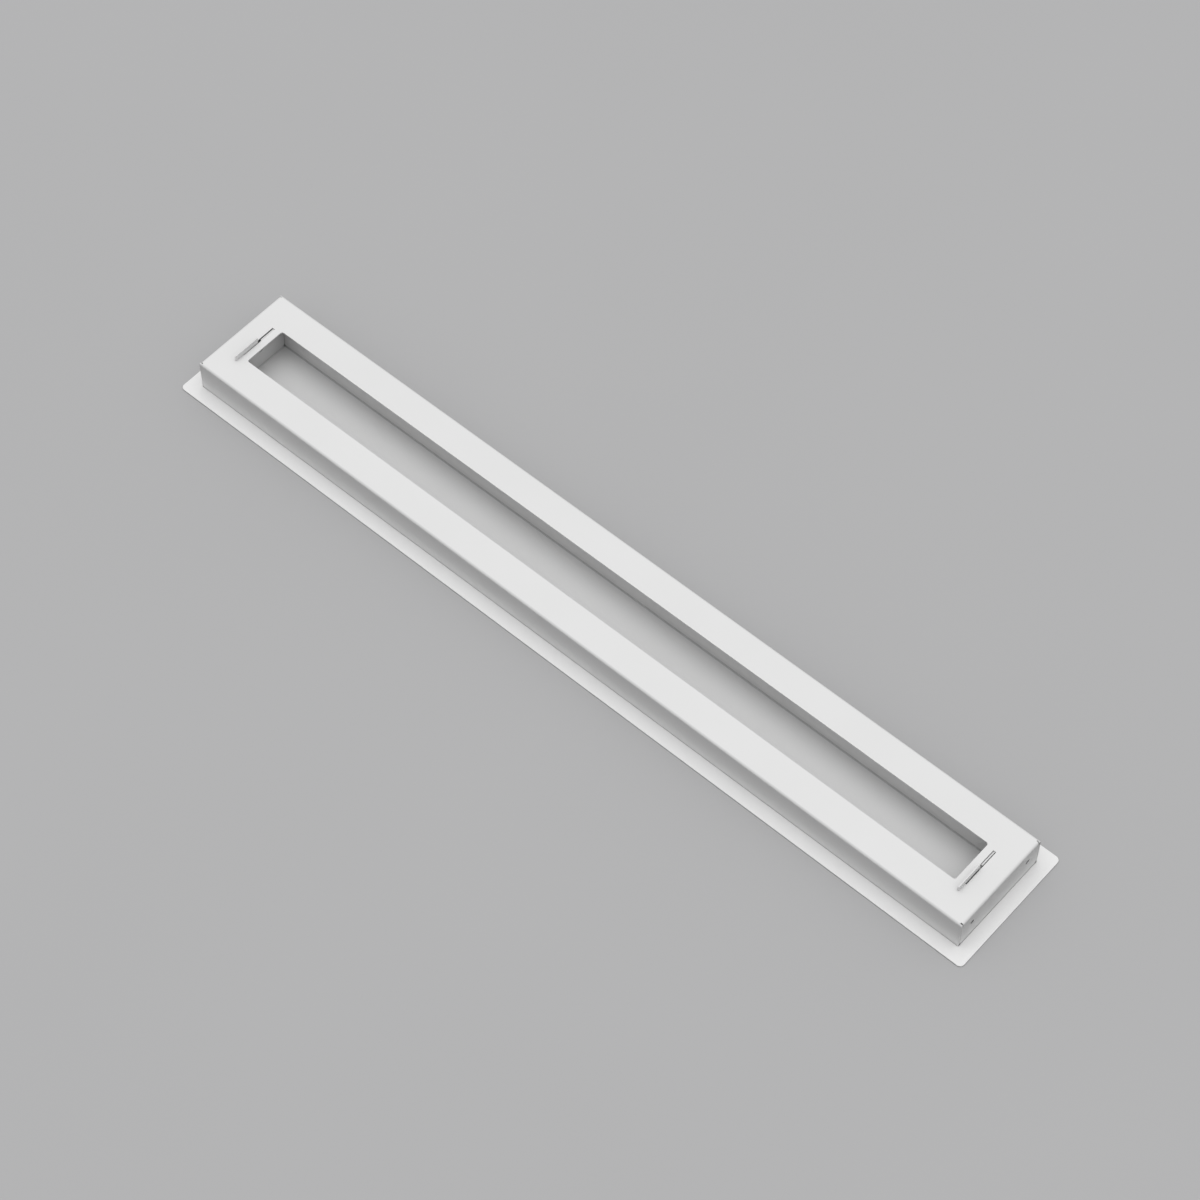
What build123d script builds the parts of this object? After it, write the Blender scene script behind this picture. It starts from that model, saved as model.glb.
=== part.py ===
from build123d import *
import os

os.makedirs("parts", exist_ok=True)

# A recessed wall vent with a hooked front panel, lying on its front face.
# X runs along the length, Z points from the room face into the wall,
# and the origin is the centre of the front face. All sizes in millimetres.

# ---- driving dimensions ----
sheet = 1.5                 # sheet thickness of all three pieces

flange_length = 1000.0      # rim that bears on the wall
flange_width = 150.0
flange_corner = 5.0
edge_round = 0.3            # coated edge of the cut sheet

box_length = 968.6          # folded box behind the rim
box_width = 118.0
box_top = 39.0              # rear face of the back plate above the front face
box_bend = 3.0              # outer radius of the folds

inlet_length = 900.0        # air opening in the back plate
inlet_width = 50.0
inlet_corner = 2.5

slot_x = 459.2              # hook slots, one at each end of the air opening
slot_width = 3.2
slot_length = 44.5

hole_y = 41.2               # two fixing holes in each end wall
hole_z = 23.2
hole_radius = 2.5

groove = 0.3                # joint between rim and box, open on the wall side
groove_depth = 1.0

relief = 1.0                # slit between an end fold and the long wall beside it
overrun = 0.4               # how far an end fold runs past the flat of its plate
seam = 0.3                  # open joint up each corner
foot_gap = 4.0              # height of the open foot of each corner joint
relief_drop = 3.0           # how far each relief runs down past the fold

panel_length = 919.5        # removable front panel, a shallow pan
panel_width = 70.0
panel_bend = 2.5            # outer radius of its folds
panel_side = 24.0           # height of its walls
panel_hold = 0.7            # how far its end folds stop short of the flat's edge
play = 0.2                  # gap between the hooks and the back plate
hook_top = 46.0
hook_stem = (-21.6, -0.9)   # stem of the hook along Y
hook_nose = -32.5           # tip of the hook
hook_cut = 1.2              # cut-back of the tip's lower corner
notch = (-0.9, 3.6)         # relief between the stem and the tab
notch_floor = 22.0
tab_end = 22.0              # the tab fills the rest of the slot
tab_top = 38.0

# ---- derived ----
half_l, half_w = box_length / 2, box_width / 2
flat_l, flat_w = half_l - box_bend, half_w - box_bend
pan_l, pan_w = panel_length / 2, panel_width / 2
pan_flat_l, pan_flat_w = pan_l - panel_bend, pan_w - panel_bend

# ---- 1. flange plate: the flat rim, cut out to take the box ----
with BuildPart() as flange_plate:
    with BuildSketch(Plane.XY):
        RectangleRounded(flange_length, flange_width, flange_corner)
        Rectangle(box_length, box_width, mode=Mode.SUBTRACT)
    extrude(amount=sheet)
    rim = flange_plate.faces().filter_by(Axis.Z)
    fillet([face.outer_wire().edges() for face in rim], edge_round)
    with BuildSketch(Plane.XY.offset(sheet)):
        Rectangle(box_length + 2 * groove, box_width + 2 * groove)
    extrude(amount=-groove_depth, mode=Mode.SUBTRACT)

flange_plate.part.label = "flange_plate"
export_step(flange_plate.part, "parts/flange_plate.step")

# ---- 2. back box: back plate and four walls folded from one sheet ----
mid_w, mid_l = half_w - sheet / 2, half_l - sheet / 2
mid_top = box_top - sheet / 2
box_fold = box_bend - sheet / 2
with BuildPart() as back_box:
    # back plate with its two long walls
    with BuildSketch(Plane.YZ.offset(-flat_l)):
        with BuildLine():
            FilletPolyline(
                (-mid_w, 0), (-mid_w, mid_top), (mid_w, mid_top), (mid_w, 0), radius=box_fold
            )
        trace(line_width=sheet)
    extrude(amount=2 * flat_l)
    # the long walls run past the back plate to both corners
    with BuildSketch(Plane.YZ.offset(-half_l)):
        with BuildLine():
            FilletPolyline(
                (-mid_w, 0), (-mid_w, mid_top), (mid_w, mid_top), (mid_w, 0), radius=box_fold
            )
        trace(line_width=sheet)
        with Locations((0, box_top)):
            Rectangle(2 * (flat_w + overrun + relief), 4 * sheet, mode=Mode.SUBTRACT)
    extrude(amount=2 * half_l)
    # end walls with their folds, held back from the long walls
    with BuildSketch(Plane.XZ.offset(-(flat_w + overrun))):
        with BuildLine():
            FilletPolyline(
                (-mid_l, 0), (-mid_l, mid_top), (mid_l, mid_top), (mid_l, 0), radius=box_fold
            )
        trace(line_width=sheet)
        Rectangle(2 * (flat_l - 5), 3 * box_top, mode=Mode.SUBTRACT)
    extrude(amount=2 * (flat_w + overrun))
    # between fold and foot the end walls reach the long walls
    with BuildSketch(Plane.XY.offset(foot_gap)):
        with Locations((-mid_l, 0), (mid_l, 0)):
            Rectangle(sheet, box_width - 2 * sheet - 2 * seam)
    extrude(amount=box_top - box_bend - relief_drop - foot_gap)
    # air opening and hook slots through the back plate
    with BuildSketch(Plane.XY.offset(box_top)):
        RectangleRounded(inlet_length, inlet_width, inlet_corner)
        with Locations((-slot_x, 0), (slot_x, 0)):
            Rectangle(slot_width, slot_length)
    extrude(amount=-2 * sheet, mode=Mode.SUBTRACT)
    # fixing holes through both end walls
    with BuildSketch(Plane.YZ.offset(-half_l - 1)):
        with Locations((-hole_y, hole_z), (hole_y, hole_z)):
            Circle(hole_radius)
    extrude(amount=box_length + 2, mode=Mode.SUBTRACT)

back_box.part.label = "back_box"
export_step(back_box.part, "parts/back_box.step")

# ---- 3. hook panel: floor, four walls, hooks and tabs folded from one sheet ----
pan_mid_w, pan_mid_l = pan_w - sheet / 2, pan_l - sheet / 2
pan_fold = panel_bend - sheet / 2
with BuildPart() as hook_panel:
    # floor with its two long walls
    with BuildSketch(Plane.YZ.offset(-pan_flat_l)):
        with BuildLine():
            FilletPolyline(
                (-pan_mid_w, panel_side), (-pan_mid_w, sheet / 2),
                (pan_mid_w, sheet / 2), (pan_mid_w, panel_side), radius=pan_fold,
            )
        trace(line_width=sheet)
    extrude(amount=2 * pan_flat_l)
    # the long walls run past the floor to both corners
    with BuildSketch(Plane.YZ.offset(-pan_l)):
        with BuildLine():
            FilletPolyline(
                (-pan_mid_w, panel_side), (-pan_mid_w, sheet / 2),
                (pan_mid_w, sheet / 2), (pan_mid_w, panel_side), radius=pan_fold,
            )
        trace(line_width=sheet)
        Rectangle(2 * (pan_flat_w + relief), 4 * sheet, mode=Mode.SUBTRACT)
    extrude(amount=2 * pan_l)
    # end walls with their folds, held back from the long walls
    with BuildSketch(Plane.XZ.offset(-(pan_flat_w - panel_hold))):
        with BuildLine():
            FilletPolyline(
                (-pan_mid_l, panel_side), (-pan_mid_l, sheet / 2),
                (pan_mid_l, sheet / 2), (pan_mid_l, panel_side), radius=pan_fold,
            )
        trace(line_width=sheet)
        Rectangle(2 * (pan_flat_l - 5), 3 * panel_side, mode=Mode.SUBTRACT)
    extrude(amount=2 * (pan_flat_w - panel_hold))
    # above the fold the end walls reach the long walls
    with BuildSketch(Plane.XY.offset(panel_bend + 1.0)):
        with Locations((-pan_mid_l, 0), (pan_mid_l, 0)):
            Rectangle(sheet, panel_width - 2 * sheet - 2 * seam)
    extrude(amount=panel_side - panel_bend - 1.0)
    # a hook and a tab stand on each end wall
    for start in (-pan_l, pan_l - sheet):
        with BuildSketch(Plane.YZ.offset(start)):
            with BuildLine():
                Polyline(
                    (hook_stem[1], panel_side - 5),
                    (hook_stem[1], hook_top),
                    (hook_nose, hook_top),
                    (hook_nose, box_top + play + hook_cut),
                    (hook_nose + hook_cut, box_top + play),
                    (hook_stem[0], box_top + play),
                    (hook_stem[0], panel_side - 5),
                    close=True,
                )
            make_face()
            with Locations(((notch[1] + tab_end) / 2, (panel_side - 5 + tab_top) / 2)):
                Rectangle(tab_end - notch[1], tab_top - panel_side + 5)
        extrude(amount=sheet)
    # relief between each stem and tab
    with BuildSketch(Plane.YZ.offset(-pan_l - 1)):
        with Locations(((notch[0] + notch[1]) / 2, notch_floor + 15)):
            Rectangle(notch[1] - notch[0], 30)
    extrude(amount=panel_length + 2, mode=Mode.SUBTRACT)

hook_panel.part.label = "hook_panel"
export_step(hook_panel.part, "parts/hook_panel.step")
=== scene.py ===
import math

import bmesh
import bpy
from mathutils import Matrix, Vector


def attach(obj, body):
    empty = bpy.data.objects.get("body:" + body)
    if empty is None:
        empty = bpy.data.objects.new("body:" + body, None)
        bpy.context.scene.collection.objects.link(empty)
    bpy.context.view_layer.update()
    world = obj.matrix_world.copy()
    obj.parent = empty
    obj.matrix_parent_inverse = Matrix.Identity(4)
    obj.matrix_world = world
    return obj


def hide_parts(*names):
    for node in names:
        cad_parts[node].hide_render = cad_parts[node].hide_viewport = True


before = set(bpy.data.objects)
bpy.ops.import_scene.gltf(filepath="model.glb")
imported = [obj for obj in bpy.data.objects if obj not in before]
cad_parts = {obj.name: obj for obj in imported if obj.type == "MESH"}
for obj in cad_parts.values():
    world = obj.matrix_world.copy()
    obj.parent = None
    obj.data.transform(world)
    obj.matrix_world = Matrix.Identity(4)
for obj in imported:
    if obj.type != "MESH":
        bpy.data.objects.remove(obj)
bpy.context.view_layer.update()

# ---------------------------------------------------------------- camera
# Square picture, 1200 x 1200, 36 mm sensor, no shift.
AZ, EL, ROLL = math.radians(41.188), math.radians(56.188), math.radians(0.109)
back = Vector((math.sin(AZ) * math.cos(EL), -math.cos(AZ) * math.cos(EL), math.sin(EL)))
right = Vector((0.0, 0.0, 1.0)).cross(back).normalized()
up = back.cross(right)
r2 = right * math.cos(ROLL) + up * math.sin(ROLL)
u2 = up * math.cos(ROLL) - right * math.sin(ROLL)
cam_data = bpy.data.cameras.new("view_camera")
cam = bpy.data.objects.new("view_camera", cam_data)
bpy.context.scene.collection.objects.link(cam)
cam_data.sensor_fit = "HORIZONTAL"
cam_data.sensor_width = 36.0
cam_data.lens = 3340.8 / 1200.0 * 36.0
cam_data.clip_start = 0.05
cam_data.clip_end = 4000.0
rot = Matrix((r2, u2, back)).transposed().to_4x4()
cam.matrix_world = Matrix.Translation(Vector((1.17902, -1.34748, 2.69605))) @ rot
bpy.context.scene.camera = cam

# ---------------------------------------------------------------- materials
def node(tree, kind, x, y, **values):
    n = tree.nodes.new(kind)
    n.location = (x, y)
    for key, value in values.items():
        if key.startswith("in_"):
            n.inputs[key[3:].replace("_", " ")].default_value = value
        else:
            setattr(n, key, value)
    return n


def powder_coat(name, tone, seed, corner_shade_tone, fold_shades=(), rough=0.48):
    """Matt white powder coat: fine orange peel, faint cloudiness, slightly uneven gloss, with painted shade in its
    inner corners and folds.
    """
    mat = bpy.data.materials.new(name)
    mat.use_nodes = True
    tree = mat.node_tree
    tree.nodes.clear()
    link = tree.links.new
    out = node(tree, "ShaderNodeOutputMaterial", 900, 0)
    bsdf = node(tree, "ShaderNodeBsdfPrincipled", 600, 0)
    bsdf.inputs["IOR"].default_value = 1.5
    bsdf.inputs["Specular IOR Level"].default_value = 0.4
    link(bsdf.outputs["BSDF"], out.inputs["Surface"])
    coord = node(tree, "ShaderNodeTexCoord", -900, 0)
    shift = node(tree, "ShaderNodeMapping", -720, 0)
    shift.inputs["Location"].default_value = (seed * 1.7, seed * 0.9, seed * 2.3)
    link(coord.outputs["Object"], shift.inputs["Vector"])

    # colour: a very faint cloud, as in a sprayed and baked film
    cloud = node(tree, "ShaderNodeTexNoise", -480, 260)
    cloud.inputs["Scale"].default_value = 9.0
    cloud.inputs["Detail"].default_value = 3.0
    cloud.inputs["Roughness"].default_value = 0.55
    link(shift.outputs["Vector"], cloud.inputs["Vector"])
    ramp = node(tree, "ShaderNodeValToRGB", -220, 260)
    ramp.color_ramp.elements[0].position = 0.3
    ramp.color_ramp.elements[1].position = 0.7
    ramp.color_ramp.elements[0].color = (tone * 0.988, tone * 0.988, tone * 0.986, 1.0)
    ramp.color_ramp.elements[1].color = (tone * 1.008, tone * 1.008, tone * 1.008, 1.0)
    link(cloud.outputs["Fac"], ramp.inputs["Fac"])
    # painted shade: the colour is darkened in tight inner corners, where ambient occlusion finds other surfaces
    # within 2.2 mm
    corner = node(tree, "ShaderNodeAmbientOcclusion", -480, 520)
    corner.samples = 6
    corner.inputs["Distance"].default_value = 0.0022
    corner_shade = node(tree, "ShaderNodeMapRange", -220, 520)
    corner_shade.inputs["From Min"].default_value = 0.4
    corner_shade.inputs["From Max"].default_value = 0.95
    corner_shade.inputs["To Min"].default_value = corner_shade_tone
    corner_shade.inputs["To Max"].default_value = 1.0
    link(corner.outputs["AO"], corner_shade.inputs["Value"])
    amount = corner_shade.outputs["Result"]
    # and painted shade again along each inner fold: (axis, distance from the middle, height, tone), in metres
    place = node(tree, "ShaderNodeSeparateXYZ", -720, 760)
    link(coord.outputs["Object"], place.inputs["Vector"])
    for k, (axis, far, high, fold_shade_tone) in enumerate(fold_shades):
        y = 800 + 220 * k
        side = node(tree, "ShaderNodeMath", -540, y, operation="ABSOLUTE")
        link(place.outputs[axis], side.inputs[0])
        here = node(tree, "ShaderNodeCombineXYZ", -360, y)
        link(side.outputs["Value"], here.inputs["X"])
        link(place.outputs["Z"], here.inputs["Z"])
        gap = node(tree, "ShaderNodeVectorMath", -180, y, operation="DISTANCE")
        gap.inputs[1].default_value = (far, 0.0, high)
        link(here.outputs["Vector"], gap.inputs[0])
        fade = node(tree, "ShaderNodeMapRange", 0, y, interpolation_type="SMOOTHSTEP")
        fade.inputs["From Min"].default_value = 0.0005
        fade.inputs["From Max"].default_value = 0.0015
        fade.inputs["To Min"].default_value = fold_shade_tone
        fade.inputs["To Max"].default_value = 1.0
        link(gap.outputs["Value"], fade.inputs["Value"])
        both = node(tree, "ShaderNodeMath", 180, y, operation="MULTIPLY")
        link(amount, both.inputs[0])
        link(fade.outputs["Result"], both.inputs[1])
        amount = both.outputs["Value"]
    shade = node(tree, "ShaderNodeVectorMath", 380, 380, operation="SCALE")
    link(ramp.outputs["Color"], shade.inputs[0])
    link(amount, shade.inputs["Scale"])
    link(shade.outputs["Vector"], bsdf.inputs["Base Color"])

    # gloss: fine specks of uneven roughness
    speck = node(tree, "ShaderNodeTexNoise", -480, -20)
    speck.inputs["Scale"].default_value = 420.0
    speck.inputs["Detail"].default_value = 2.0
    link(shift.outputs["Vector"], speck.inputs["Vector"])
    gloss = node(tree, "ShaderNodeMapRange", -220, -20)
    gloss.inputs["From Min"].default_value = 0.3
    gloss.inputs["From Max"].default_value = 0.7
    gloss.inputs["To Min"].default_value = rough - 0.05
    gloss.inputs["To Max"].default_value = rough + 0.06
    link(speck.outputs["Fac"], gloss.inputs["Value"])
    link(gloss.outputs["Result"], bsdf.inputs["Roughness"])

    # surface: orange peel about 1.5 mm across, with a finer grain on it
    peel = node(tree, "ShaderNodeTexNoise", -480, -320)
    peel.inputs["Scale"].default_value = 650.0
    peel.inputs["Detail"].default_value = 1.0
    link(shift.outputs["Vector"], peel.inputs["Vector"])
    grain = node(tree, "ShaderNodeTexNoise", -480, -580)
    grain.inputs["Scale"].default_value = 2200.0
    grain.inputs["Detail"].default_value = 2.0
    link(shift.outputs["Vector"], grain.inputs["Vector"])
    bump1 = node(tree, "ShaderNodeBump", 120, -320)
    bump1.inputs["Strength"].default_value = 0.35
    bump1.inputs["Distance"].default_value = 0.00006
    link(peel.outputs["Fac"], bump1.inputs["Height"])
    bump2 = node(tree, "ShaderNodeBump", 340, -320)
    bump2.inputs["Strength"].default_value = 0.25
    bump2.inputs["Distance"].default_value = 0.00002
    link(grain.outputs["Fac"], bump2.inputs["Height"])
    link(bump1.outputs["Normal"], bump2.inputs["Normal"])
    link(bump2.outputs["Normal"], bsdf.inputs["Normal"])
    return mat


# The first number of each coat is one white set per part: lighter on the rim as painted light, darker on the panel
# inside the box as painted shade.
coats = {
    # the third number of each coat is the tone of its painted shade in tight inner corners, and the panel's fold
    # entries paint shade along its inner folds
    "flange_plate": powder_coat("rim_powder_coat", 0.90, 1.0, 0.97),
    "back_box": powder_coat("box_powder_coat", 0.82, 2.0, 0.90),
    "hook_panel": powder_coat(
        "panel_powder_coat", 0.77, 3.0, 0.82,
        fold_shades=(("Y", 0.0332, 0.0018, 0.70), ("X", 0.45795, 0.0018, 0.84))),
}


def hole_bore_shade_material(name):
    """Dark grey metal in the bores of the fixing holes, as painted shade inside the holes, with fine turning marks.
    """
    mat = bpy.data.materials.new(name)
    mat.use_nodes = True
    tree = mat.node_tree
    link = tree.links.new
    bsdf = tree.nodes["Principled BSDF"]
    bsdf.inputs["Metallic"].default_value = 0.7
    coord = node(tree, "ShaderNodeTexCoord", -900, 0)
    marks = node(tree, "ShaderNodeTexNoise", -600, 100)
    marks.inputs["Scale"].default_value = 1500.0
    marks.inputs["Detail"].default_value = 3.0
    link(coord.outputs["Object"], marks.inputs["Vector"])
    ramp = node(tree, "ShaderNodeValToRGB", -320, 100)
    ramp.color_ramp.elements[0].position = 0.3
    ramp.color_ramp.elements[1].position = 0.7
    ramp.color_ramp.elements[0].color = (0.36, 0.36, 0.365, 1.0)
    ramp.color_ramp.elements[1].color = (0.52, 0.52, 0.525, 1.0)
    link(marks.outputs["Fac"], ramp.inputs["Fac"])
    link(ramp.outputs["Color"], bsdf.inputs["Base Color"])
    gloss = node(tree, "ShaderNodeMapRange", -320, -140)
    gloss.inputs["To Min"].default_value = 0.45
    gloss.inputs["To Max"].default_value = 0.7
    link(marks.outputs["Fac"], gloss.inputs["Value"])
    link(gloss.outputs["Result"], bsdf.inputs["Roughness"])
    return mat


hole_bore_shade = hole_bore_shade_material("hole_bore_painted_shade")

# ---------------------------------------------------------------- folded sheet
# Flat patterns in millimetres: a list of polygons (u, v) round a base plate, with the flaps laid out flat. place()
# puts each vertex in place for both faces of the sheet.
SHEET = 1.5
STEPS = 9            # segments in each 90 degree fold
ARC = 9.0            # flat length given to one fold in the pattern
EDGE = 0.12          # rounding of the coated cut edges


class Folded:
    """Base plate with four flaps folded the same way; z goes from the outer face of the base."""

    def __init__(self, half_l, half_w, bend, base_z, way):
        self.half_l, self.half_w, self.bend = half_l, half_w, bend
        self.flat_l, self.flat_w = half_l - bend, half_w - bend
        self.base_z, self.way = base_z, way
        self.polys = []
        self.drilled = []

    def at(self, depth):
        """Pattern distance past the flat for a point at this depth from the base's outer face."""
        return ARC + depth - self.bend

    def curve(self, past, inset):
        """(outward, depth) past the flat for one face of the sheet."""
        if past <= 0:
            return past, inset
        if past <= ARC:
            a = math.pi / 2 * past / ARC
            return (self.bend - inset) * math.sin(a), self.bend - (self.bend - inset) * math.cos(a)
        return self.bend - inset, self.bend + past - ARC

    def place(self, u, v, inset):
        end_flap = abs(u) > self.flat_l + 1e-6 and abs(v) < self.flat_w + 2.0
        if end_flap:
            out, depth = self.curve(abs(u) - self.flat_l, inset)
            x, y = math.copysign(self.flat_l + out, u), v
        else:
            out, depth = self.curve(abs(v) - self.flat_w, inset)
            x, y = u, math.copysign(self.flat_w + out, v)
        return (x / 1000, y / 1000, (self.base_z + self.way * depth) / 1000)

    def rect(self, u0, v0, u1, v1):
        self.polys.append([(u0, v0), (u1, v0), (u1, v1), (u0, v1)])

    def hole_cell(self, cu, cv, half, radius, steps=6):
        """Square cell with a round hole, as four quarters."""
        self.drilled.append((cu, cv, radius))
        for su, sv in ((1, 1), (-1, 1), (-1, -1), (1, -1)):
            pts = [(cu + su * half, cv), (cu + su * half, cv + sv * half), (cu, cv + sv * half)]
            for k in range(steps + 1):
                a = math.pi / 2 * (1 - k / steps)
                pts.append((cu + su * radius * math.cos(a), cv + sv * radius * math.sin(a)))
            self.polys.append(pts)

    def inner_corner(self, u, v, su, sv, radius, steps=6):
        """Sheet left in the corner of an opening whose corner is rounded."""
        cu, cv = u - su * radius, v - sv * radius
        pts = [(u, v)]
        for k in range(steps + 1):
            a = math.pi / 2 * k / steps
            pts.append((cu + su * radius * math.sin(a), cv + sv * radius * math.cos(a)))
        self.polys.append(pts)

    def build(self, name):
        snap = lambda p: (round(p[0], 4), round(p[1], 4))
        polys = [[snap(p) for p in poly] for poly in self.polys]
        known = sorted({p for poly in polys for p in poly})
        # every polygon takes in the vertices its neighbours put on its edges
        full = []
        for poly in polys:
            pts = []
            for a, b in zip(poly, poly[1:] + poly[:1]):
                pts.append(a)
                if a[0] != b[0] and a[1] != b[1]:
                    continue
                on = [p for p in known if p not in (a, b)
                      and min(a[0], b[0]) <= p[0] <= max(a[0], b[0])
                      and min(a[1], b[1]) <= p[1] <= max(a[1], b[1])]
                on.sort(key=lambda p: abs(p[0] - a[0]) + abs(p[1] - a[1]))
                pts += on
            area = sum(a[0] * b[1] - b[0] * a[1] for a, b in zip(pts, pts[1:] + pts[:1]))
            full.append(pts if area > 0 else pts[::-1])
        index = {p: i for i, p in enumerate(known)}
        count = len(known)
        verts = [self.place(p[0], p[1], 0.0) for p in known]
        verts += [self.place(p[0], p[1], SHEET) for p in known]
        faces, edges = [], {}
        for pts in full:
            ring = [index[p] for p in pts]
            faces.append(ring)
            faces.append([i + count for i in reversed(ring)])
            for a, b in zip(ring, ring[1:] + ring[:1]):
                edges[(a, b)] = edges.get((a, b), 0) + 1
        cut = set()
        for a, b in sorted(edges):
            if (b, a) not in edges:
                if any(all(math.hypot(known[i][0] - u, known[i][1] - v) < r + 0.01 for i in (a, b))
                       for u, v, r in self.drilled):
                    cut.add(len(faces))
                faces.append([b, a, a + count, b + count])
        return make_mesh(name, verts, faces, cut)


def make_mesh(name, verts, faces, cut=()):
    mesh = bpy.data.meshes.new(name)
    mesh.from_pydata(verts, [], faces)
    for i in cut:
        mesh.polygons[i].material_index = 1
    bm = bmesh.new()
    bm.from_mesh(mesh)
    bmesh.ops.recalc_face_normals(bm, faces=bm.faces)
    for f in bm.faces:
        f.smooth = True
    loose = [e for e in bm.edges if len(e.link_faces) != 2]
    if loose:
        raise RuntimeError(f"{name}: {len(loose)} edges are not shared by two faces")
    bm.to_mesh(mesh)
    bm.free()
    obj = bpy.data.objects.new(name, mesh)
    bpy.context.scene.collection.objects.link(obj)
    return obj


def round_edges(obj, width, angle=50.0):
    bevel = obj.modifiers.new("coated_edges", "BEVEL")
    bevel.width = width / 1000
    bevel.segments = 3
    bevel.limit_method = "ANGLE"
    bevel.angle_limit = math.radians(angle)
    bevel.use_clamp_overlap = False
    bevel.miter_outer = "MITER_ARC"
    bevel.harden_normals = False
    weigh = obj.modifiers.new("flat_faces", "WEIGHTED_NORMAL")
    weigh.mode = "FACE_AREA"
    weigh.weight = 50
    weigh.keep_sharp = False


def flaps(part, slit_steps, long_depth, hold, end_rows):
    """Folds and walls round the base. end_rows are (depth0, depth1, half_width) of the end flaps."""
    for s in (-1, 1):
        for k in range(STEPS):
            a, b = ARC * k / STEPS, ARC * (k + 1) / STEPS
            reach = part.flat_l if k < slit_steps else part.half_l
            part.rect(-reach, s * (part.flat_w + a), reach, s * (part.flat_w + b))
            part.rect(s * (part.flat_l + a), -part.flat_w + hold, s * (part.flat_l + b), part.flat_w - hold)
        part.rect(-part.half_l, s * (part.flat_w + ARC), part.half_l, s * (part.flat_w + part.at(long_depth)))
        for d0, d1, half in end_rows:
            part.rect(s * (part.flat_l + part.at(d0)), -half, s * (part.flat_l + part.at(d1)), half)


# back box: base plate at z = 39, walls down to the rim's front face
BOX_TOP, BOX_L, BOX_W, BOX_BEND = 39.0, 484.3, 59.0, 3.0
box = Folded(BOX_L, BOX_W, BOX_BEND, BOX_TOP, -1)
IN_L, IN_W, IN_R = 450.0, 25.0, 2.5
SLOT_X, SLOT_HALF, SLOT_Y = 459.2, 1.6, 22.25
for s in (-1, 1):
    box.rect(-box.flat_l, s * IN_W, box.flat_l, s * box.flat_w)
    box.rect(s * IN_L, -IN_W, s * (SLOT_X - SLOT_HALF), IN_W)
    box.rect(s * (SLOT_X + SLOT_HALF), -IN_W, s * box.flat_l, IN_W)
    for t in (-1, 1):
        box.rect(s * (SLOT_X - SLOT_HALF), t * SLOT_Y, s * (SLOT_X + SLOT_HALF), t * IN_W)
        box.inner_corner(s * IN_L, t * IN_W, s, t, IN_R)
HOLE_Y, HOLE_Z, HOLE_R, CELL = 41.2, 23.2, 2.5, 3.6
RELIEF_Z, FOOT_Z = 33.0, 4.0
flaps(box, 3, BOX_TOP, 0.0, [(BOX_BEND, BOX_TOP - RELIEF_Z, box.flat_w), (BOX_TOP - FOOT_Z, BOX_TOP, box.flat_w)])
for s in (-1, 1):
    far = lambda z: s * (box.flat_l + box.at(BOX_TOP - z))
    for t in (-1, 1):
        box.rect(far(RELIEF_Z), t * (HOLE_Y + CELL), far(FOOT_Z), t * (BOX_W - SHEET - 0.3))
        box.rect(far(RELIEF_Z), t * (HOLE_Y - CELL), far(HOLE_Z + CELL), t * (HOLE_Y + CELL))
        box.hole_cell(far(HOLE_Z), t * HOLE_Y, CELL, HOLE_R)
        box.rect(far(HOLE_Z - CELL), t * (HOLE_Y - CELL), far(FOOT_Z), t * (HOLE_Y + CELL))
    box.rect(far(RELIEF_Z), -(HOLE_Y - CELL), far(FOOT_Z), HOLE_Y - CELL)

# hook panel: floor at z = 0, walls up towards the back plate
PAN_L, PAN_W, PAN_BEND = 459.75, 35.0, 2.5
PAN_SIDE, HOLD, NOTCH_Z, TAB_TOP, HOOK_TOP = 24.0, 0.7, 22.0, 38.0, 46.0
pan = Folded(PAN_L, PAN_W, PAN_BEND, 0.0, 1)
pan.rect(-pan.flat_l, -pan.flat_w, pan.flat_l, pan.flat_w)
wide = PAN_W - SHEET - 0.1
flaps(pan, 6, PAN_SIDE, HOLD, [(PAN_BEND, 3.5, pan.flat_w - HOLD), (3.5, NOTCH_Z, wide)])
for s in (-1, 1):
    up_to = lambda z: s * (pan.flat_l + pan.at(z))
    pan.rect(up_to(NOTCH_Z), -wide, up_to(PAN_SIDE), -0.9)
    pan.rect(up_to(NOTCH_Z), 3.6, up_to(PAN_SIDE), wide)
    pan.rect(up_to(PAN_SIDE), 3.6, up_to(TAB_TOP), 22.0)
    pan.polys.append([(up_to(z), y) for z, y in (
        (PAN_SIDE, -21.6), (PAN_SIDE, -0.9), (HOOK_TOP, -0.9), (HOOK_TOP, -32.5),
        (40.4, -32.5), (39.2, -31.3), (39.2, -21.6))])


def ring(half_l, half_w, radius, z, steps=8):
    pts = []
    for su, sv, start in ((1, 1, 0), (-1, 1, 90), (-1, -1, 180), (1, -1, 270)):
        cu, cv = su * (half_l - radius), sv * (half_w - radius)
        for k in range(steps + 1):
            a = math.radians(start + 90 * k / steps)
            pts.append(((cu + radius * math.cos(a)) / 1000, (cv + radius * math.sin(a)) / 1000, z / 1000))
    return pts


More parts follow.
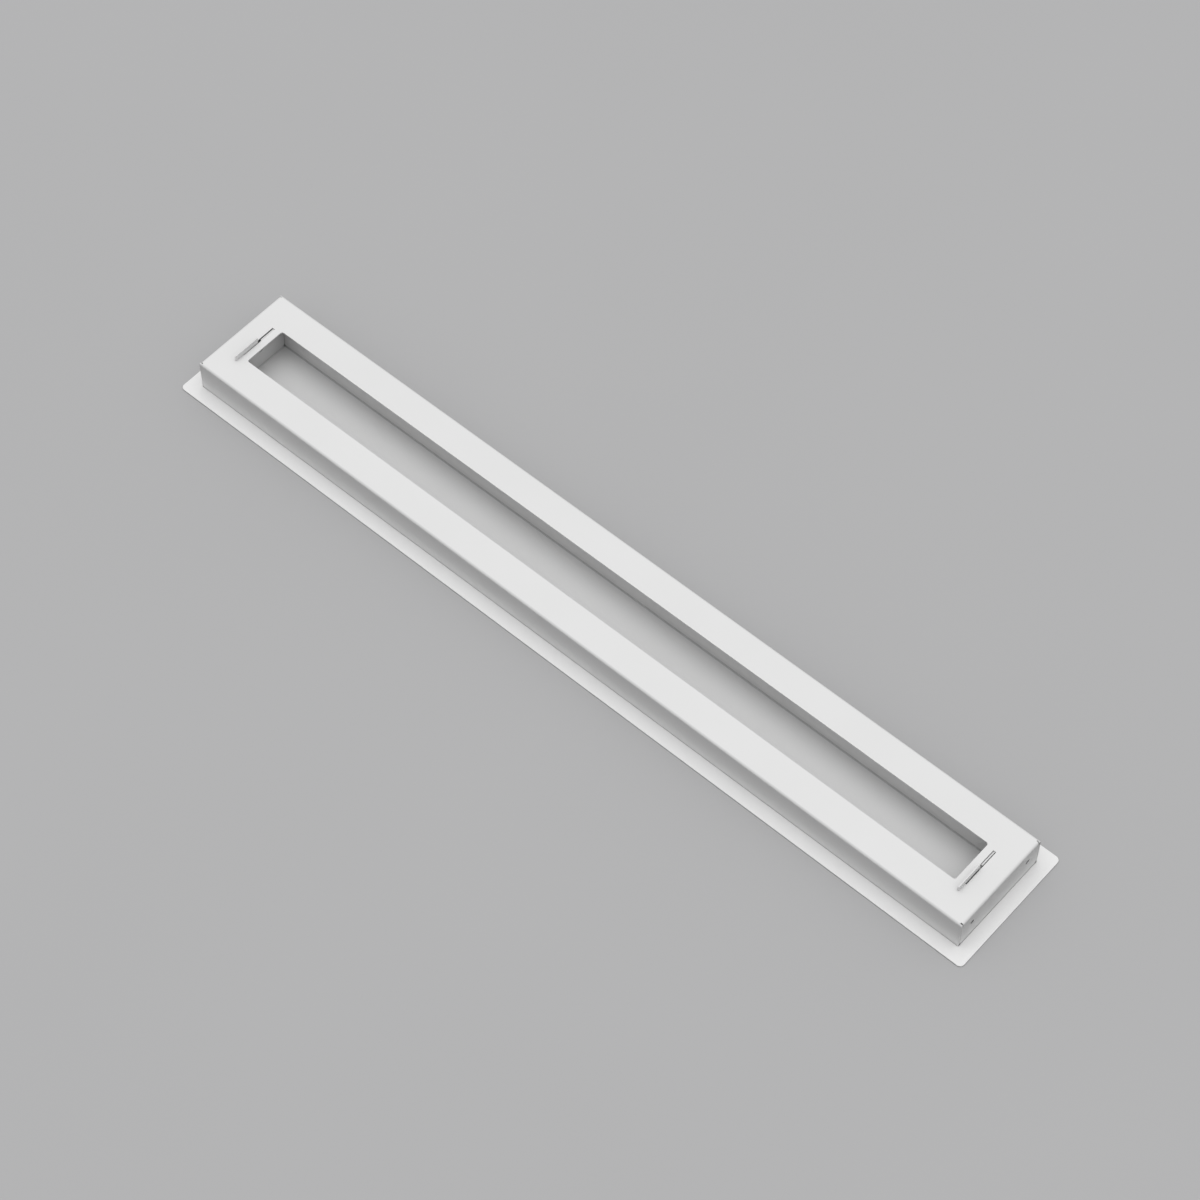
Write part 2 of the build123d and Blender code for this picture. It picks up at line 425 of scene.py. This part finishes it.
def rim_mesh(name):
    """Flat rim swept round its cross-section: rounded outer edge, open groove beside the box."""
    L, W, C, E = 500.0, 75.0, 5.0, 0.3
    rings = []
    for k in range(5):                      # front outer edge
        a = math.radians(90 * k / 4)
        d = E * (1 - math.sin(a))
        rings.append(ring(L - d, W - d, C - d, E * (1 - math.cos(a))))
    for k in range(5):                      # back outer edge
        a = math.radians(90 * k / 4)
        d = E * (1 - math.cos(a))
        rings.append(ring(L - d, W - d, C - d, SHEET - E * (1 - math.sin(a))))
    gl, gw = BOX_L + 0.3, BOX_W + 0.3
    for k in range(4):                      # lip of the groove
        a = math.radians(90 * k / 3)
        d = 0.2 * (1 - math.sin(a))
        rings.append(ring(gl + d, gw + d, 0.4 + d, SHEET - 0.2 * (1 - math.cos(a))))
    rings.append(ring(gl, gw, 0.4, 0.5))
    rings.append(ring(BOX_L, BOX_W, 0.1, 0.5))
    rings.append(ring(BOX_L, BOX_W, 0.1, 0.0))
    n = len(rings[0])
    verts = [p for r in rings for p in r]
    faces = []
    for i in range(len(rings)):
        j = (i + 1) % len(rings)
        for k in range(n):
            m = (k + 1) % n
            faces.append([i * n + k, i * n + m, j * n + m, j * n + k])
    return make_mesh(name, verts, faces)


rim_piece = rim_mesh("rim_plate")
box_piece = box.build("folded_back_box")
pan_piece = pan.build("folded_hook_panel")
round_edges(box_piece, EDGE)
round_edges(pan_piece, EDGE)
weigh = rim_piece.modifiers.new("flat_faces", "WEIGHTED_NORMAL")
weigh.mode = "FACE_AREA"
weigh.weight = 50
for piece, node_name, body, slot_name in (
    (rim_piece, "flange_plate", "frame", "rim_coat"),
    (box_piece, "back_box", "frame", "box_coat"),
    (pan_piece, "hook_panel", "panel", "panel_coat"),
):
    piece.data.materials.append(coats[node_name])
    # the fixing-hole bores take the second material, darkened as painted shade
    if node_name == "back_box":
        piece.data.materials.append(hole_bore_shade)
    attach(piece, body)
    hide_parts(node_name)

# ---------------------------------------------------------------- floor
floor_mesh = bpy.data.meshes.new("floor")
S, FAR = 9.0, 1500.0          # the outer band carries the floor on to the horizon
floor_mesh.from_pydata(
    [(-S, -S, 0), (S, -S, 0), (S, S, 0), (-S, S, 0), (-FAR, -FAR, 0), (FAR, -FAR, 0), (FAR, FAR, 0), (-FAR, FAR, 0)],
    [], [(0, 1, 2, 3), (4, 5, 1, 0), (5, 6, 2, 1), (6, 7, 3, 2), (7, 4, 0, 3)])
floor = bpy.data.objects.new("floor", floor_mesh)
floor.location = (0, 0, -0.0002)
bpy.context.scene.collection.objects.link(floor)
fmat = bpy.data.materials.new("floor_paper")
fmat.use_nodes = True
ft = fmat.node_tree
fb = ft.nodes["Principled BSDF"]
fb.inputs["Roughness"].default_value = 0.9
fb.inputs["Specular IOR Level"].default_value = 0.1
fn = ft.nodes.new("ShaderNodeTexNoise")
fn.inputs["Scale"].default_value = 2.0
fc = ft.nodes.new("ShaderNodeTexCoord")
fr = ft.nodes.new("ShaderNodeValToRGB")
fr.color_ramp.elements[0].color = (0.47, 0.47, 0.475, 1)
fr.color_ramp.elements[1].color = (0.49, 0.49, 0.495, 1)
ft.links.new(fc.outputs["Object"], fn.inputs["Vector"])
ft.links.new(fn.outputs["Fac"], fr.inputs["Fac"])
ft.links.new(fr.outputs["Color"], fb.inputs["Base Color"])
floor.data.materials.append(fmat)
floor.visible_diffuse = False

# ---------------------------------------------------------------- light
# A soft overhead dome: brightest straight above, nothing from below.
world = bpy.data.worlds.new("studio")
bpy.context.scene.world = world
world.use_nodes = True
wt = world.node_tree
wt.nodes.clear()
wo = wt.nodes.new("ShaderNodeOutputWorld")
wb = wt.nodes.new("ShaderNodeBackground")
wc = wt.nodes.new("ShaderNodeTexCoord")
ws = wt.nodes.new("ShaderNodeSeparateXYZ")
wr = wt.nodes.new("ShaderNodeMapRange")
wr.inputs["From Min"].default_value = 0.0
wr.inputs["From Max"].default_value = 1.0
wr.inputs["To Min"].default_value = 0.55
wr.inputs["To Max"].default_value = 2.53
peak = wt.nodes.new("ShaderNodeMath")
peak.operation = "POWER"
peak.inputs[1].default_value = 8.0
lift = wt.nodes.new("ShaderNodeMath")
lift.operation = "MAXIMUM"
lift.inputs[1].default_value = 0.0
above = wt.nodes.new("ShaderNodeMath")
above.operation = "GREATER_THAN"
above.inputs[1].default_value = 0.0
mul = wt.nodes.new("ShaderNodeMath")
mul.operation = "MULTIPLY"
wt.links.new(wc.outputs["Generated"], ws.inputs["Vector"])
wt.links.new(ws.outputs["Z"], lift.inputs[0])
wt.links.new(lift.outputs["Value"], peak.inputs[0])
wt.links.new(peak.outputs["Value"], wr.inputs["Value"])
wt.links.new(ws.outputs["Z"], above.inputs[0])
wt.links.new(wr.outputs["Result"], mul.inputs[0])
wt.links.new(above.outputs["Value"], mul.inputs[1])
wt.links.new(mul.outputs["Value"], wb.inputs["Strength"])
wb.inputs["Color"].default_value = (1, 1, 1, 1)
wt.links.new(wb.outputs["Background"], wo.inputs["Surface"])

bpy.context.scene.cycles.diffuse_bounces = 1
bpy.context.scene.view_settings.view_transform = "Standard"
bpy.context.scene.view_settings.look = "None"
bpy.context.scene.view_settings.exposure = 0.0
